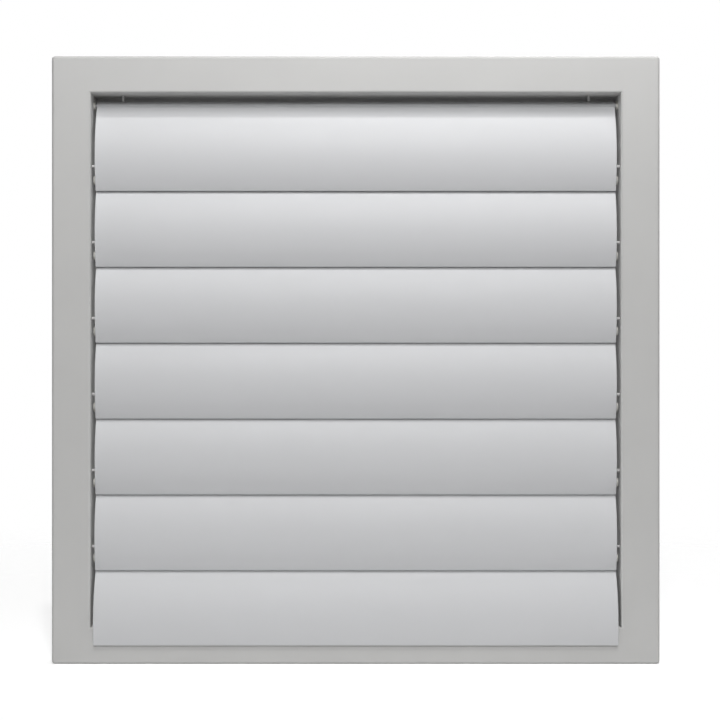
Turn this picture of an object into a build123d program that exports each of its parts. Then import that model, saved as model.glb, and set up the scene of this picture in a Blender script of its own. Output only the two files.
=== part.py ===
from build123d import *
import os
from math import asin, atan2, cos, degrees, hypot, sin, sqrt

os.makedirs("parts", exist_ok=True)

# Lengths in millimetres. The front faces -Y, the rear face lies on y = 0, +Z is up,
# and the origin is the centre of the rear face.

# Frame
OPENING_W = 347.0  # clear opening across
OPENING_H = 350.0  # clear opening from bottom to top
RIM = 24.0  # width of the flat front rim above and below the opening
SIDE_RIM = 25.5  # the same at the sides
DEPTH = 28.0  # rear face to front face
FRONT_T = 2.5  # thickness of the front rim
WALL_T = 2.5  # thickness of the inner and outer walls
FLANGE_W = 12.0  # how far the rear flange stands into the opening
FLANGE_T = 2.5  # thickness of the rear flange
CORNER_R = 1.5  # outer corners, seen from the front
EDGE_R = 2.0  # outer edge of the front face
LIP_R = 1.5  # edge of the front face round the opening
WEB_T = 1.8  # webs across the channel behind the rim
WEB_SET_IN = 3.0  # webs end this far from the rear face
WEB_COUNT = 6  # webs along the top, and along the bottom
FIXING_HOLE_R = 2.5  # screw holes in the rear flange

# Blades
BLADE_COUNT = 7
PIVOT_DROP = 6.25  # top of the opening to the first pivot
PIVOT_SET_BACK = 15.5  # front face to the pivots
BLADE_T = 1.4
BLADE_R = 61.5  # middle of the curved sheet
LAP = 7.55  # a blade's lower edge hangs this far below the next pivot
LAP_GAP = 0.4  # lower edge to the face of the blade it covers, both hanging alike
END_GAP = 2.0  # blade to side wall
BEAD_R = 2.2  # round bead along the upper edge
BLADE_CORNER_R = 1.2  # lower corners
BLADE_EDGE_R = 0.5  # front edges at the ends and along the bottom
PIN_R = 1.5
PIN_END_GAP = 0.4  # pin to the closed end of the bush
REST_GAP = 0.35  # left between a shut blade and what it lies on

# Bushes
BUSH_R = 3.0
BUSH_HEAD_R = 4.5
BUSH_HEAD_T = 1.5
BUSH_NOSE = 1.2  # stands out of the side wall towards the blade
BUSH_END_T = 0.8  # closed outer end
PIN_CLEARANCE = 0.05  # pin in the bush
BUSH_CLEARANCE = 0.05  # bush in the side wall

# Stop pegs, on the side walls behind the blades' ends
PEG_R = 1.0
PEG_RISE = 16.15  # above the lower edge of the blade that shuts on it
PEG_REACH = 3.5  # behind the end of the blade

# Keeper ribs, above the top blade's bead
KEEPER_T = 1.2
KEEPER_INSET = 19.5  # from the side wall
KEEPER_SET_BACK = 12.5  # front face to the front of the rib
KEEPER_L = 8.0  # front to back
KEEPER_GAP = 0.5  # rib to bead

# Places that follow from the sizes
OUTER_W = OPENING_W + 2 * SIDE_RIM
OUTER_H = OPENING_H + 2 * RIM
PITCH = OPENING_H / BLADE_COUNT
PIVOT_Y = PIVOT_SET_BACK - DEPTH
PIVOT_Z = [OPENING_H / 2 - PIVOT_DROP - PITCH * n for n in range(BLADE_COUNT)]
BLADE_L = OPENING_W - 2 * END_GAP
BLADE_DROP = PITCH + LAP
FACE_R = BLADE_R + BLADE_T / 2
BACK_R = BLADE_R - BLADE_T / 2
WALL_OUT_X = OPENING_W / 2 + WALL_T
BORE_END_X = WALL_OUT_X + BUSH_HEAD_T - BUSH_END_T


def solve(value, low, high):
    """Where a rising value crosses nought between low and high."""
    for _ in range(60):
        middle = (low + high) / 2
        if value(middle) < 0:
            low = middle
        else:
            high = middle
    return high


def lap_gap_error(crown_drop):
    """Gap at the lap, less the gap wanted, for a sheet whose crown hangs that far below the pivot."""
    back = sqrt(BACK_R**2 - (BLADE_DROP - crown_drop) ** 2)
    face = sqrt(FACE_R**2 - (crown_drop - LAP) ** 2)
    return back - face - LAP_GAP


# Section of a blade, seen from the end: forward and up from the pivot
CROWN_DROP = solve(lap_gap_error, LAP, BLADE_DROP)
CENTRE = (-sqrt(BLADE_R**2 - CROWN_DROP**2), -CROWN_DROP)
TOP_ANGLE = asin(CROWN_DROP / BLADE_R)


def on_arc(radius, angle):
    """Point of the section at a radius and an angle above the level of the crown."""
    return (CENTRE[0] + radius * cos(angle), CENTRE[1] + radius * sin(angle))


def foot_angle(radius):
    """Angle at which an arc of the section reaches the lower edge."""
    return -asin((BLADE_DROP - CROWN_DROP) / radius)


def swing(point, angle):
    """A point of the section once the blade has swung outwards."""
    forward, up = point
    return (forward * cos(angle) - up * sin(angle), forward * sin(angle) + up * cos(angle))


BACK_FOOT = on_arc(BACK_R, foot_angle(BACK_R))


def angle_on_rim():
    """The bottom blade lies with its lower edge on the front face of the rim."""
    reach = hypot(BACK_FOOT[0], BACK_FOOT[1])
    return asin((PIVOT_SET_BACK + REST_GAP) / reach) - atan2(BACK_FOOT[0], -BACK_FOOT[1])


def angle_on_blade(below):
    """A blade shuts on its pegs, or lies on the blade below it where that one hangs further out."""
    centre = swing(CENTRE, below)

    def room(angle):
        forward, up = swing(BACK_FOOT, angle)
        return hypot(forward - centre[0], up + PITCH - centre[1]) - FACE_R - REST_GAP

    if room(0) >= 0:
        return 0.0
    return solve(room, 0, below)


REST_ANGLE = [angle_on_rim()]
for n in range(BLADE_COUNT - 1):
    REST_ANGLE.insert(0, angle_on_blade(REST_ANGLE[0]))


def block(x, y, z):
    """Box between two limits each way."""
    centre = Pos((x[0] + x[1]) / 2, (y[0] + y[1]) / 2, (z[0] + z[1]) / 2)
    return centre * Box(x[1] - x[0], y[1] - y[0], z[1] - z[0])


def ring_block(outer, inner, y):
    """Square tube along Y between two half sizes."""
    solid = block((-outer[0], outer[0]), y, (-outer[1], outer[1]))
    return solid - block((-inner[0], inner[0]), y, (-inner[1], inner[1]))


def rod(x, y, z, radius):
    """Round bar along X between two limits."""
    return Pos((x[0] + x[1]) / 2, y, z) * Rot(Y=90) * Cylinder(radius, abs(x[1] - x[0]))


def make_frame():
    half = (OPENING_W / 2, OPENING_H / 2)
    outer = (OUTER_W / 2, OUTER_H / 2)
    channel_out = (outer[0] - WALL_T, outer[1] - WALL_T)
    channel_in = (half[0] + WALL_T, half[1] + WALL_T)

    # Outside with its softened edges, then the opening
    body = block((-outer[0], outer[0]), (-DEPTH, 0), (-outer[1], outer[1]))
    body = fillet(body.edges().filter_by(Axis.Y), CORNER_R)
    body = fillet(body.faces().sort_by(Axis.Y)[0].edges(), EDGE_R)
    body -= block((-half[0], half[0]), (-DEPTH, -FLANGE_T), (-half[1], half[1]))
    body = fillet(body.faces().sort_by(Axis.Y)[0].inner_wires()[0].edges(), LIP_R)

    # Channel behind the rim, and the opening in the rear flange
    body -= ring_block(channel_out, channel_in, (FRONT_T - DEPTH, 0))
    rear = (half[0] - FLANGE_W, half[1] - FLANGE_W)
    body -= block((-rear[0], rear[0]), (-FLANGE_T, 0), (-rear[1], rear[1]))

    # Webs: midway between the pivots at the sides, evenly spaced above and below
    web_y = (FRONT_T - DEPTH, -WEB_SET_IN)
    web_step = OPENING_W / (WEB_COUNT + 1)
    for side in (-1, 1):
        web_x = sorted((side * channel_in[0], side * channel_out[0]))
        for z in PIVOT_Z[:-1]:
            middle = z - PITCH / 2
            body += block(web_x, web_y, (middle - WEB_T / 2, middle + WEB_T / 2))
        web_z = sorted((side * channel_in[1], side * channel_out[1]))
        for n in range(WEB_COUNT):
            middle = (n + 1) * web_step - OPENING_W / 2
            body += block((middle - WEB_T / 2, middle + WEB_T / 2), web_y, web_z)

    # Stop pegs for all blades but the bottom one
    peg_up = PEG_RISE - BLADE_DROP
    peg_r = BACK_R - REST_GAP - PEG_R
    peg_forward = CENTRE[0] + sqrt(peg_r**2 - (peg_up - CENTRE[1]) ** 2)
    peg_x = OPENING_W / 2 - END_GAP - PEG_REACH
    for side in (-1, 1):
        for z in PIVOT_Z[:-1]:
            body += rod((side * peg_x, side * WALL_OUT_X), PIVOT_Y - peg_forward, z + peg_up, PEG_R)

    # Keeper ribs hang from the top wall
    keeper_y = (KEEPER_SET_BACK - DEPTH, KEEPER_SET_BACK + KEEPER_L - DEPTH)
    keeper_z = (PIVOT_Z[0] + BEAD_R + KEEPER_GAP, channel_in[1])
    for side in (-1, 1):
        middle = side * (half[0] - KEEPER_INSET)
        body += block((middle - KEEPER_T / 2, middle + KEEPER_T / 2), keeper_y, keeper_z)

    # Holes for the bushes, and for the wall screws
    fixing_x = half[0] - FLANGE_W / 2
    fixing_z = PIVOT_Z[0] - PITCH / 2
    for side in (-1, 1):
        for z in PIVOT_Z:
            body -= rod((side * half[0], side * WALL_OUT_X), PIVOT_Y, z, BUSH_R + BUSH_CLEARANCE)
        for level in (-1, 1):
            hole = Rot(X=90) * Cylinder(FIXING_HOLE_R, FLANGE_T)
            body -= Pos(side * fixing_x, -FLANGE_T / 2, level * fixing_z) * hole
    return body


def make_bush(side, z):
    wall_in = side * OPENING_W / 2
    wall_out = side * WALL_OUT_X
    nose = wall_in - side * BUSH_NOSE
    head = wall_out + side * BUSH_HEAD_T
    body = rod((nose, head), PIVOT_Y, z, BUSH_R)
    body += rod((wall_out, head), PIVOT_Y, z, BUSH_HEAD_R)
    return body - rod((nose, side * BORE_END_X), PIVOT_Y, z, PIN_R + PIN_CLEARANCE)


def make_blade():
    """One blade with its pivot on the X axis, hanging as it does on its pegs."""

    def at(radius, angle):
        forward, up = on_arc(radius, angle)
        return (-forward, up)

    def arc(radius):
        low = foot_angle(radius)
        return ThreePointArc(at(radius, low), at(radius, (low + TOP_ANGLE) / 2), at(radius, TOP_ANGLE))

    face_arc = arc(FACE_R)
    back_arc = arc(BACK_R)
    foot = Line(face_arc @ 0, back_arc @ 0)
    top = Line(face_arc @ 1, back_arc @ 1)
    section = Plane.YZ * make_face([face_arc, top, back_arc, foot])
    sheet = extrude(section, BLADE_L / 2, both=True)

    foot_face = sheet.faces().filter_by(Axis.Z).sort_by(Axis.Z)[0]
    sheet = fillet(foot_face.edges().filter_by(Axis.Y), BLADE_CORNER_R)
    face = sheet.faces().filter_by(GeomType.CYLINDER).sort_by(SortBy.AREA)[-1]
    upper = face.edges().sort_by(Axis.Z)[-1]
    sheet = fillet([edge for edge in face.edges() if edge != upper], BLADE_EDGE_R)

    pin_end = BORE_END_X - PIN_END_GAP
    sheet += rod((-BLADE_L / 2, BLADE_L / 2), 0, 0, BEAD_R)
    for side in (-1, 1):
        sheet += rod((side * (BLADE_L / 2 - PIN_R), side * pin_end), 0, 0, PIN_R)
    return sheet


def save(solid, name):
    solid.label = name
    export_step(solid, f"parts/{name}.step")


save(make_frame(), "frame")

for number, z in enumerate(PIVOT_Z, start=1):
    for name, side in (("left", -1), ("right", 1)):
        save(make_bush(side, z), f"bush_{name}_{number}")

blade = make_blade()
for number, (z, angle) in enumerate(zip(PIVOT_Z, REST_ANGLE), start=1):
    save(Pos(0, PIVOT_Y, z) * Rot(X=-degrees(angle)) * blade, f"blade_{number}")
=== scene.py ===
import bmesh
import bpy
import math
from mathutils import Matrix, Vector


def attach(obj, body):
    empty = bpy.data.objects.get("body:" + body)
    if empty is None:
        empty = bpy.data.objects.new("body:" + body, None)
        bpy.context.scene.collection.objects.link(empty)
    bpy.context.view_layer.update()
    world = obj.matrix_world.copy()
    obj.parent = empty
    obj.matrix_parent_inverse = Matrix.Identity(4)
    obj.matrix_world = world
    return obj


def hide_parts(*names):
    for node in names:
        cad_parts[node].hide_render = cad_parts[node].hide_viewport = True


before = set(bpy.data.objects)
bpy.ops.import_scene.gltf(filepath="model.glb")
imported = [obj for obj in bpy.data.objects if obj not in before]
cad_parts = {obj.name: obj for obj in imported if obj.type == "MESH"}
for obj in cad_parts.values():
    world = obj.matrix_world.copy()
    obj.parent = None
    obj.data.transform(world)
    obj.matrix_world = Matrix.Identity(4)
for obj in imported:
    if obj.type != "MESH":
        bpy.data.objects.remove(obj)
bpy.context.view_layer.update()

# Frame: one satin light grey plastic moulding. A flat rim with walls behind it, a rear flange that
# is screwed to the wall, webs across the channel, and stop pegs and keeper ribs for the blades.
OUTER = 0.398
OPENING = (0.347, 0.350)
DEPTH = 0.028
WALL_T = 0.0025
FLANGE_W = 0.012
RIM_EDGE_R = 0.002
RIM_EDGE_STEPS = 7
LIP_R = 0.0015
LIP_STEPS = 6
TINY = 1e-6


def only(obj):
    """Makes obj the one selected and active object."""
    bpy.ops.object.select_all(action="DESELECT")
    obj.select_set(True)
    bpy.context.view_layer.objects.active = obj


def edit(obj):
    """Opens obj in edit mode, ready for picking edges."""
    only(obj)
    bpy.ops.object.mode_set(mode="EDIT")
    bpy.ops.mesh.select_mode(type="EDGE")


def pick_edges(test):
    """Selects the edges of the edited mesh that pass a test on their two ends."""
    mesh = bmesh.from_edit_mesh(bpy.context.edit_object.data)
    bpy.ops.mesh.select_all(action="DESELECT")
    for edge in mesh.edges:
        edge.select_set(test(edge.verts[0].co, edge.verts[1].co))
    bmesh.update_edit_mesh(bpy.context.edit_object.data)


def apply_modifier(obj, kind, **settings):
    """Adds a modifier, sets it and applies it."""
    only(obj)
    modifier = obj.modifiers.new(kind.lower(), kind)
    for key, value in settings.items():
        setattr(modifier, key, value)
    bpy.ops.object.modifier_apply(modifier=modifier.name)


# The walls are drawn as one closed section, from the outer wall's rear edge round the rim, the inner
# wall and the rear flange, and back through the channel behind the rim.
width, height = OPENING
section = (
    (0, OUTER, OUTER),
    (-DEPTH, OUTER, OUTER),
    (-DEPTH, width, height),
    (-WALL_T, width, height),
    (-WALL_T, width - 2 * FLANGE_W, height - 2 * FLANGE_W),
    (0, width - 2 * FLANGE_W, height - 2 * FLANGE_W),
    (0, width + 2 * WALL_T, height + 2 * WALL_T),
    (WALL_T - DEPTH, width + 2 * WALL_T, height + 2 * WALL_T),
    (WALL_T - DEPTH, OUTER - 2 * WALL_T, OUTER - 2 * WALL_T),
    (0, OUTER - 2 * WALL_T, OUTER - 2 * WALL_T),
    (0, OUTER, OUTER),
)
bpy.ops.object.select_all(action="DESELECT")
bpy.ops.mesh.primitive_plane_add(size=OUTER, rotation=(math.pi / 2, 0, 0))
moulding = bpy.context.object
moulding.name = "frame_moulding"
bpy.ops.object.transform_apply(location=True, rotation=True, scale=True)
edit(moulding)
bpy.ops.mesh.select_all(action="SELECT")
bpy.ops.mesh.delete(type="ONLY_FACE")
bpy.ops.mesh.select_all(action="SELECT")
for (y, across, up), (next_y, next_across, next_up) in zip(section, section[1:]):
    bpy.ops.mesh.extrude_region_move(TRANSFORM_OT_translate={"value": (0, next_y - y, 0)})
    shrink = (next_across / across, 1, next_up / up)
    bpy.ops.transform.resize(value=shrink, center_override=(0, 0, 0))
bpy.ops.mesh.select_all(action="SELECT")
bpy.ops.mesh.remove_doubles(threshold=TINY)
bpy.ops.mesh.normals_make_consistent(inside=False)


def near(value, wanted):
    """Whether a value is wanted, on either side of the middle."""
    return abs(abs(value) - wanted) < TINY


def front_loop(across, up):
    """Tests for the edges on the front face that lie on a rectangle of that size."""

    def test(a, b):
        upright = near(a.x, across / 2) and near(b.x, across / 2)
        level = near(a.z, up / 2) and near(b.z, up / 2)
        return near(a.y, DEPTH) and near(b.y, DEPTH) and (upright or level)

    return test


def outside_edge(a, b):
    """Tests for the edge round the front and the four corners of the outer wall."""
    corner = all(near(end.x, OUTER / 2) and near(end.z, OUTER / 2) for end in (a, b))
    from_front_to_rear = abs(a.y - b.y) > DEPTH - TINY
    return corner and from_front_to_rear or front_loop(OUTER, OUTER)(a, b)


pick_edges(outside_edge)
bpy.ops.mesh.bevel(offset=RIM_EDGE_R, segments=RIM_EDGE_STEPS, profile=0.5, affect="EDGES")
pick_edges(front_loop(*OPENING))
bpy.ops.mesh.bevel(offset=LIP_R, segments=LIP_STEPS, profile=0.5, affect="EDGES")
bpy.ops.object.mode_set(mode="OBJECT")

BAR_SIDES = 40
BAR_SOFT_STEPS = 3
RIB_SOFT_STEPS = 2


def bar(length, radius, soft=0):
    """A round bar along X about the origin, its end edges softened."""
    along_x = (0, math.pi / 2, 0)
    bpy.ops.object.select_all(action="DESELECT")
    bpy.ops.mesh.primitive_cylinder_add(vertices=BAR_SIDES, radius=radius, depth=length, rotation=along_x)
    obj = bpy.context.object
    bpy.ops.object.transform_apply(location=True, rotation=True, scale=True)
    if soft:
        edit(obj)
        pick_edges(lambda a, b: abs(a.x - b.x) < TINY)
        bpy.ops.mesh.bevel(offset=soft, segments=BAR_SOFT_STEPS, profile=0.5, affect="EDGES")
        bpy.ops.object.mode_set(mode="OBJECT")
    return obj


def rib(size, soft):
    """A flat rib about the origin, its edges softened."""
    bpy.ops.object.select_all(action="DESELECT")
    bpy.ops.mesh.primitive_cube_add(size=1, scale=size)
    obj = bpy.context.object
    bpy.ops.object.transform_apply(location=True, rotation=True, scale=True)
    edit(obj)
    bpy.ops.mesh.select_all(action="SELECT")
    bpy.ops.mesh.bevel(offset=soft, segments=RIB_SOFT_STEPS, profile=0.5, affect="EDGES")
    bpy.ops.object.mode_set(mode="OBJECT")
    return obj


def copies(pattern, moves):
    """Copies of a pattern piece, one for each move; the pattern itself goes."""
    made = []
    for move in moves:
        copy = bpy.data.objects.new(pattern.name, pattern.data.copy())
        copy.data.transform(move)
        bpy.context.collection.objects.link(copy)
        made.append(copy)
    bpy.data.objects.remove(pattern, do_unlink=True)
    return made


def combine(target, others, operation):
    """Cuts the others out of the target, or makes them one solid with it; they go."""
    for other in others:
        apply_modifier(target, "BOOLEAN", operation=operation, solver="EXACT", object=other)
        bpy.data.objects.remove(other, do_unlink=True)


# Holes for the bushes in the side walls and for the screws in the rear flange.
PIVOT_Y = -0.0125
PIVOT_PITCH = 0.050
TOP_PIVOT_Z = 0.16875
BLADE_COUNT = 7
PIVOT_Z = [TOP_PIVOT_Z - PIVOT_PITCH * n for n in range(BLADE_COUNT)]
BUSH_HOLE_R = 0.00305
SCREW_HOLE_R = 0.0025
SCREW_X = 0.1675
SCREW_Z = 0.14375
CUT_THROUGH = 0.008
SIDES = (-1, 1)

wall_middle = (OPENING[0] + WALL_T) / 2
bush_holes = [Matrix.Translation((side * wall_middle, PIVOT_Y, z)) for side in SIDES for z in PIVOT_Z]
along_y = Matrix.Rotation(math.pi / 2, 4, "Z")
screw_holes = [
    Matrix.Translation((side * SCREW_X, 0, level * SCREW_Z)) @ along_y
    for side in SIDES
    for level in SIDES
]
cutters = copies(bar(CUT_THROUGH, BUSH_HOLE_R), bush_holes)
cutters += copies(bar(CUT_THROUGH, SCREW_HOLE_R), screw_holes)
combine(moulding, cutters, "DIFFERENCE")

# Webs across the channel, stop pegs behind the blades' ends and keeper ribs above the top blade. They
# belong to the moulding and reach a little way into its walls.
WEB_T = 0.0018
WEB_COUNT = 6
WEB_REAR = -0.003
WEB_SOFT = 0.0003
PEG_R = 0.001
PEG_X = 0.168
PEG_Y = -0.020813
PEG_DROP = 0.0414
PEG_SOFT = 0.0004
KEEPER_T = 0.0012
KEEPER_X = 0.154
KEEPER_FRONT = -0.0155
KEEPER_REAR = -0.0075
KEEPER_FOOT = 0.17145
KEEPER_SOFT = 0.0002
SUNK = 0.0005

web_front = WALL_T - DEPTH - SUNK
web_depth = WEB_REAR - web_front
web_y = (web_front + WEB_REAR) / 2
channel_out = OUTER / 2 - WALL_T
channel_in = [side / 2 + WALL_T for side in OPENING]
channel_middle = [(channel_out + inner) / 2 for inner in channel_in]
web_length = [channel_out - inner + 2 * SUNK for inner in channel_in]
web_step = OPENING[0] / (WEB_COUNT + 1)
peg_end = channel_in[0] - SUNK
keeper_top = channel_in[1] - SUNK

side_webs = [
    Matrix.Translation((side * channel_middle[0], web_y, z - PIVOT_PITCH / 2))
    for side in SIDES
    for z in PIVOT_Z[:-1]
]
level_webs = [
    Matrix.Translation(((n + 1) * web_step - OPENING[0] / 2, web_y, side * channel_middle[1]))
    for side in SIDES
    for n in range(WEB_COUNT)
]
pegs = [
    Matrix.Translation((side * (PEG_X + peg_end) / 2, PEG_Y, z - PEG_DROP))
    for side in SIDES
    for z in PIVOT_Z[:-1]
]
keeper_size = (KEEPER_T, KEEPER_REAR - KEEPER_FRONT, keeper_top - KEEPER_FOOT)
keeper_y = (KEEPER_FRONT + KEEPER_REAR) / 2
keeper_z = (KEEPER_FOOT + keeper_top) / 2
keepers = [Matrix.Translation((side * KEEPER_X, keeper_y, keeper_z)) for side in SIDES]
features = copies(rib((web_length[0], web_depth, WEB_T), WEB_SOFT), side_webs)
features += copies(rib((WEB_T, web_depth, web_length[1]), WEB_SOFT), level_webs)
features += copies(bar(peg_end - PEG_X, PEG_R, PEG_SOFT), pegs)
features += copies(rib(keeper_size, KEEPER_SOFT), keepers)
combine(moulding, features, "UNION")


SHARP_ABOVE_DEG = 40
CLOUD_SCALE = 24
GLOSS_SCALE = 160
GLOSS_SPREAD = (0.3, 0.7)
WAVE_SCALE = 34
WAVE_STRENGTH = 0.12
WAVE_HEIGHT = 0.0004
GRAIN_SCALE = 1900
GRAIN_STRENGTH = 0.10
GRAIN_HEIGHT = 0.00006


def smooth_bevels(obj):
    """Smooth bevels beside flat faces."""
    only(obj)
    bpy.ops.object.shade_smooth_by_angle(angle=math.radians(SHARP_ABOVE_DEG))
    apply_modifier(obj, "WEIGHTED_NORMAL", keep_sharp=True, weight=50, mode="FACE_AREA")


def satin_plastic(name, light, dark, rough, stretch):
    """Moulded satin plastic: faintly cloudy, slightly wavy, with a fine grain and an uneven gloss."""
    material = bpy.data.materials.new(name)
    material.use_nodes = True
    nodes, links = material.node_tree.nodes, material.node_tree.links
    shader = nodes["Principled BSDF"]
    shader.inputs["Specular IOR Level"].default_value = 0.2
    coords = nodes.new("ShaderNodeTexCoord")
    mapping = nodes.new("ShaderNodeMapping")
    mapping.inputs["Scale"].default_value = stretch
    links.new(coords.outputs["Object"], mapping.inputs["Vector"])

    def noise(source, scale, detail):
        node = nodes.new("ShaderNodeTexNoise")
        node.inputs["Scale"].default_value = scale
        node.inputs["Detail"].default_value = detail
        links.new(source, node.inputs["Vector"])
        return node.outputs["Fac"]

    def bump(height, strength, distance):
        node = nodes.new("ShaderNodeBump")
        node.inputs["Strength"].default_value = strength
        node.inputs["Distance"].default_value = distance
        links.new(height, node.inputs["Height"])
        return node

    tone = nodes.new("ShaderNodeMix")
    tone.data_type = "RGBA"
    tone.inputs["A"].default_value = (*dark, 1)
    tone.inputs["B"].default_value = (*light, 1)
    links.new(noise(mapping.outputs["Vector"], CLOUD_SCALE, 4), tone.inputs["Factor"])
    links.new(tone.outputs["Result"], shader.inputs["Base Color"])

    gloss = nodes.new("ShaderNodeMapRange")
    gloss.inputs["From Min"].default_value = GLOSS_SPREAD[0]
    gloss.inputs["From Max"].default_value = GLOSS_SPREAD[1]
    gloss.inputs["To Min"].default_value = rough[0]
    gloss.inputs["To Max"].default_value = rough[1]
    links.new(noise(coords.outputs["Object"], GLOSS_SCALE, 3), gloss.inputs["Value"])
    links.new(gloss.outputs["Result"], shader.inputs["Roughness"])

    wave = bump(noise(mapping.outputs["Vector"], WAVE_SCALE, 1), WAVE_STRENGTH, WAVE_HEIGHT)
    grain = bump(noise(coords.outputs["Object"], GRAIN_SCALE, 2), GRAIN_STRENGTH, GRAIN_HEIGHT)
    links.new(wave.outputs["Normal"], grain.inputs["Normal"])
    links.new(grain.outputs["Normal"], shader.inputs["Normal"])
    return material


smooth_bevels(moulding)
moulding.data.materials.clear()
moulding.data.materials.append(
    satin_plastic(
        "frame_grey",
        light=(0.584, 0.582, 0.573),
        dark=(0.546, 0.544, 0.536),
        rough=(0.42, 0.52),
        stretch=(1, 1, 1),
    )
)
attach(moulding, "frame")
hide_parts("frame")

# Blades: copies of one satin plastic moulding, a curved sheet with a round bead along the top and a
# pin at each end of it. They hang on the pins, lap over each other and shut on the stop pegs.
FACE_R = 0.0622
SHEET_T = 0.0014
SHEET_STEPS = 40
SHEET_EDGE_R = 0.0005
SHEET_EDGE_STEPS = 4
CENTRE = (0.050761, -0.034721)
DROP = 0.05755
HALF_L = 0.1715
CORNER_R = 0.0012
CORNER_STEPS = 8
BEAD_R = 0.0022
BEAD_SOFT = 0.0004
PIN_R = 0.0015
PIN_END = 0.1763
PIN_SOFT = 0.0003
REST_DEG = (0, 0, 0, 0.0434, 0.3172, 1.9017, 10.3615)

foot_angle = -math.asin((DROP + CENTRE[1]) / FACE_R)
top_angle = math.asin(-CENTRE[1] / (FACE_R - SHEET_T / 2))
foot_y = CENTRE[0] - FACE_R * math.cos(foot_angle)
foot_z = CENTRE[1] + FACE_R * math.sin(foot_angle)

# The sheet's lower edge is spun up round the centre of its curve. The sheet faces forward, gets its
# thickness, and has its lower corners and the edges of its face rounded.
bpy.ops.object.select_all(action="DESELECT")
bpy.ops.mesh.primitive_plane_add(size=2 * HALF_L, location=(0, foot_y + HALF_L, foot_z))
blade = bpy.context.object
bpy.ops.object.transform_apply(location=True, rotation=True, scale=True)
edit(blade)
bpy.ops.mesh.select_mode(type="VERT")
bpy.ops.mesh.select_all(action="DESELECT")
for vert in bmesh.from_edit_mesh(blade.data).verts:
    vert.select_set(vert.co.y > foot_y + HALF_L)
bpy.ops.mesh.delete(type="VERT")
bpy.ops.mesh.select_all(action="SELECT")
bpy.ops.mesh.spin(steps=SHEET_STEPS, angle=top_angle - foot_angle, center=(0, *CENTRE), axis=(1, 0, 0))
bpy.ops.mesh.select_all(action="SELECT")
bpy.ops.mesh.remove_doubles(threshold=TINY)
bpy.ops.mesh.normals_make_consistent(inside=False)
sheet_faces = bmesh.from_edit_mesh(blade.data).faces
crown = min(sheet_faces, key=lambda face: face.calc_center_median().y)
if crown.normal.y > 0:
    bpy.ops.mesh.flip_normals()
bpy.ops.object.mode_set(mode="OBJECT")
apply_modifier(blade, "SOLIDIFY", thickness=SHEET_T, offset=-1, use_even_offset=True)


def lower_corner(a, b):
    """Tests for the two edges through the sheet at its lower corners."""
    low = max(a.z, b.z) < foot_z + SHEET_T
    return low and near(a.x, HALF_L) and near(b.x, HALF_L) and abs(a.y - b.y) > SHEET_T / 2


def on_face(point):
    """Whether a point lies on the curve of the face."""
    return abs(math.hypot(point.y - CENTRE[0], point.z - CENTRE[1]) - FACE_R) < TINY


def face_outline(a, b):
    """Tests for the edges of the face at the ends and along the foot."""
    row = abs(a.x - b.x) > HALF_L
    return on_face(a) and on_face(b) and (not row or a.z < foot_z + TINY)


edit(blade)
pick_edges(lower_corner)
bpy.ops.mesh.bevel(offset=CORNER_R, segments=CORNER_STEPS, profile=0.5, affect="EDGES")
pick_edges(face_outline)
bpy.ops.mesh.bevel(offset=SHEET_EDGE_R, segments=SHEET_EDGE_STEPS, profile=0.5, affect="EDGES")
bpy.ops.object.mode_set(mode="OBJECT")

# The bead along the top and the pins at its ends are one with the sheet.
pin_root = HALF_L - PIN_R
pin_middle = (pin_root + PIN_END) / 2
pin_places = [Matrix.Translation((side * pin_middle, 0, 0)) for side in SIDES]
pins = copies(bar(PIN_END - pin_root, PIN_R, PIN_SOFT), pin_places)
combine(blade, [bar(2 * HALF_L, BEAD_R, BEAD_SOFT), *pins], "UNION")
smooth_bevels(blade)
blade.data.materials.clear()
blade.data.materials.append(
    satin_plastic(
        "blade_grey",
        light=(0.651, 0.656, 0.668),
        dark=(0.618, 0.623, 0.635),
        rough=(0.40, 0.50),
        stretch=(0.25, 1, 1),
    )
)

hung = [
    Matrix.Translation((0, PIVOT_Y, z)) @ Matrix.Rotation(-math.radians(degrees), 4, "X")
    for z, degrees in zip(PIVOT_Z, REST_DEG)
]
for number, piece in enumerate(copies(blade, hung), start=1):
    piece.name = f"blade_moulding_{number}"
    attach(piece, f"blade_{number}")
    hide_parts(f"blade_{number}")

# Bushes: small off-white plastic bushes with a closed outer end and a flange. They are pushed into the
# side walls from the channel, and the pins run in them.
bush_white = satin_plastic(
    "bush_white",
    light=(0.72, 0.71, 0.67),
    dark=(0.66, 0.65, 0.61),
    rough=(0.35, 0.45),
    stretch=(1, 1, 1),
)
for name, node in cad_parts.items():
    if name.startswith("bush_"):
        node.data.materials.clear()
        node.data.materials.append(bush_white)

# Stage: a pale floor under the lower edge that fades out into a white surround, soft lamps above and
# in front as over a studio table, and one behind for the rear side.
FLOOR_R = 2.4
FLOOR_GLOW = 0.42
FLOOR_FADE = (0.3, 1.0)
SURROUND_SEEN = 1.0
SURROUND_LIGHT = 0.01
CAMERA_PLACE = (0.0028, -1.128, 0)
CAMERA_LENS = 84.1

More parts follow.
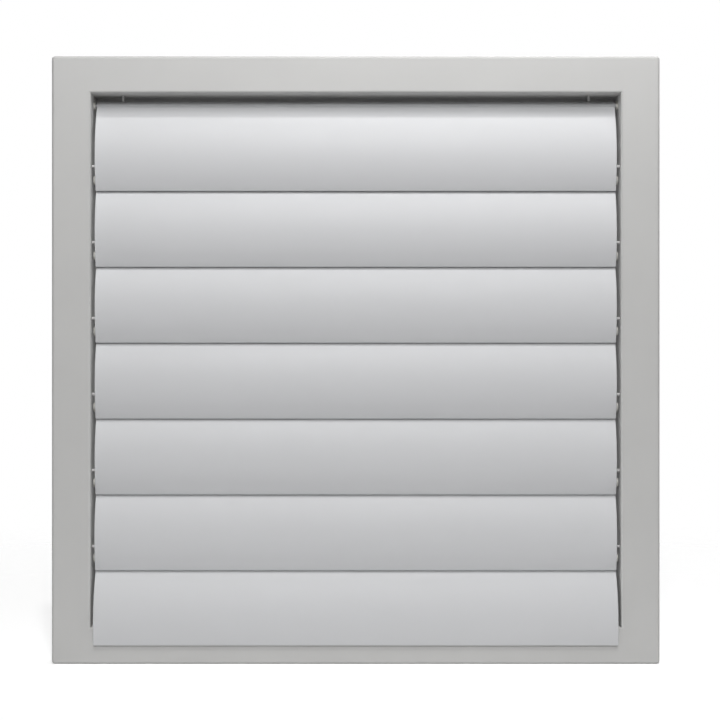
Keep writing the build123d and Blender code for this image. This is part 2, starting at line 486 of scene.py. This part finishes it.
bpy.ops.object.select_all(action="DESELECT")
bpy.ops.mesh.primitive_circle_add(vertices=96, radius=FLOOR_R, fill_type="NGON", location=(0, 0, -OUTER / 2))
floor = bpy.context.object
floor.name = "floor"
floor_white = bpy.data.materials.new("floor_white")
floor_white.use_nodes = True
nodes, links = floor_white.node_tree.nodes, floor_white.node_tree.links
surface = nodes["Principled BSDF"]
surface.inputs["Base Color"].default_value = (0.9, 0.9, 0.9, 1)
surface.inputs["Roughness"].default_value = 0.9
surface.inputs["Specular IOR Level"].default_value = 0.1
surface.inputs["Emission Color"].default_value = (1, 1, 1, 1)
floor_ray = nodes.new("ShaderNodeLightPath")
glow = nodes.new("ShaderNodeMapRange")
glow.inputs["To Max"].default_value = FLOOR_GLOW
links.new(floor_ray.outputs["Is Camera Ray"], glow.inputs["Value"])
links.new(glow.outputs["Result"], surface.inputs["Emission Strength"])
floor_coords = nodes.new("ShaderNodeTexCoord")
distance = nodes.new("ShaderNodeVectorMath")
distance.operation = "LENGTH"
links.new(floor_coords.outputs["Object"], distance.inputs[0])
fade = nodes.new("ShaderNodeMapRange")
fade.interpolation_type = "SMOOTHSTEP"
fade.inputs["From Min"].default_value = FLOOR_FADE[0]
fade.inputs["From Max"].default_value = FLOOR_FADE[1]
links.new(distance.outputs["Value"], fade.inputs["Value"])
clear = nodes.new("ShaderNodeBsdfTransparent")
faded = nodes.new("ShaderNodeMixShader")
links.new(fade.outputs["Result"], faded.inputs["Fac"])
links.new(surface.outputs["BSDF"], faded.inputs[1])
links.new(clear.outputs["BSDF"], faded.inputs[2])
links.new(faded.outputs["Shader"], nodes["Material Output"].inputs["Surface"])
floor.data.materials.append(floor_white)


def lamp(name, place, target, width, height, power):
    """A rectangular lamp that looks at a target and isn't seen itself."""
    data = bpy.data.lights.new(name, "AREA")
    data.shape = "RECTANGLE"
    data.size = width
    data.size_y = height
    data.energy = power
    obj = bpy.data.objects.new(name, data)
    obj.location = place
    obj.rotation_euler = (Vector(target) - Vector(place)).to_track_quat("-Z", "Y").to_euler()
    obj.visible_camera = False
    bpy.context.collection.objects.link(obj)


lamp("main", (0.05, -1.25, 2.17), (0, 0, 0), 0.12, 0.12, 14.3)
lamp("fill", (0, -2.1, 1.27), (0, 0, 0), 0.5, 0.4, 24.4)
lamp("top_edge", (0.06, -0.24, 0.40), (0, -0.03, 0.12), 0.6, 0.10, 0.82)
lamp("rear", (0.3, 1.7, 1.7), (0, 0, 0), 1.0, 1.0, 20)

# The surround is white where it is seen, directly or in a reflection, and lights the part only a little.
world = bpy.data.worlds.new("surround")
bpy.context.scene.world = world
world.use_nodes = True
nodes, links = world.node_tree.nodes, world.node_tree.links
ray = nodes.new("ShaderNodeLightPath")
seen = ray.outputs["Is Camera Ray"]
for kind in ("Is Glossy Ray", "Is Transmission Ray"):
    either = nodes.new("ShaderNodeMath")
    either.operation = "MAXIMUM"
    links.new(seen, either.inputs[0])
    links.new(ray.outputs[kind], either.inputs[1])
    seen = either.outputs["Value"]
strength = nodes.new("ShaderNodeMapRange")
strength.inputs["To Min"].default_value = SURROUND_LIGHT
strength.inputs["To Max"].default_value = SURROUND_SEEN
links.new(seen, strength.inputs["Value"])
links.new(strength.outputs["Result"], nodes["Background"].inputs["Strength"])
nodes["Background"].inputs["Color"].default_value = (1, 1, 1, 1)

camera_data = bpy.data.cameras.new("camera")
camera_data.sensor_width = 36
camera_data.lens = CAMERA_LENS
camera = bpy.data.objects.new("camera", camera_data)
camera.location = CAMERA_PLACE
camera.rotation_euler = (math.pi / 2, 0, 0)
bpy.context.collection.objects.link(camera)
bpy.context.scene.camera = camera
bpy.context.scene.view_settings.view_transform = "Standard"
